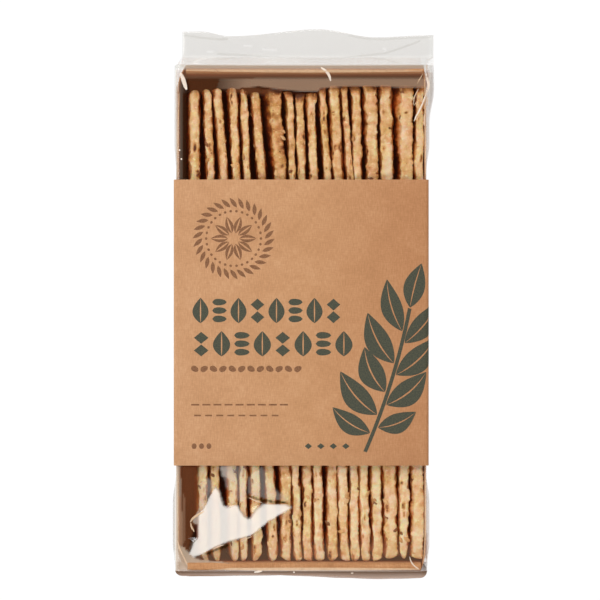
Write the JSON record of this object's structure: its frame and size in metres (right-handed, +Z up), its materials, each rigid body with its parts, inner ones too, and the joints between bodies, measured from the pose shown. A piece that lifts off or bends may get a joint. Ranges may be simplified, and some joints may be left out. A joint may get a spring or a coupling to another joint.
{
  "type": "sesame cracker pack",
  "caption": "Long flat pack of sesame crackers on edge in a card tray, in clear film with a seal flap and a kraft card sleeve round the middle.",
  "frame": {"origin": "on the surface that the pack lies on, below the middle of its outline", "axes": "+Z up, out of the shown front; +Y along the pack to the end with the film's seal flap; +X to the right of a viewer who looks down at the front with the flap at the top"},
  "size_m": [0.0932, 0.1971, 0.042],
  "materials": {
    "film": "gloss",
    "sleeve_board": "matte",
    "tray_board": "matte",
    "cracker": "matte",
    "seed": "satin",
    "print_ink": "matte"
  },
  "bodies": {
    "root": {"clear_wrap": "film", "card_sleeve": "sleeve_board"}
  },
  "joints": []
}
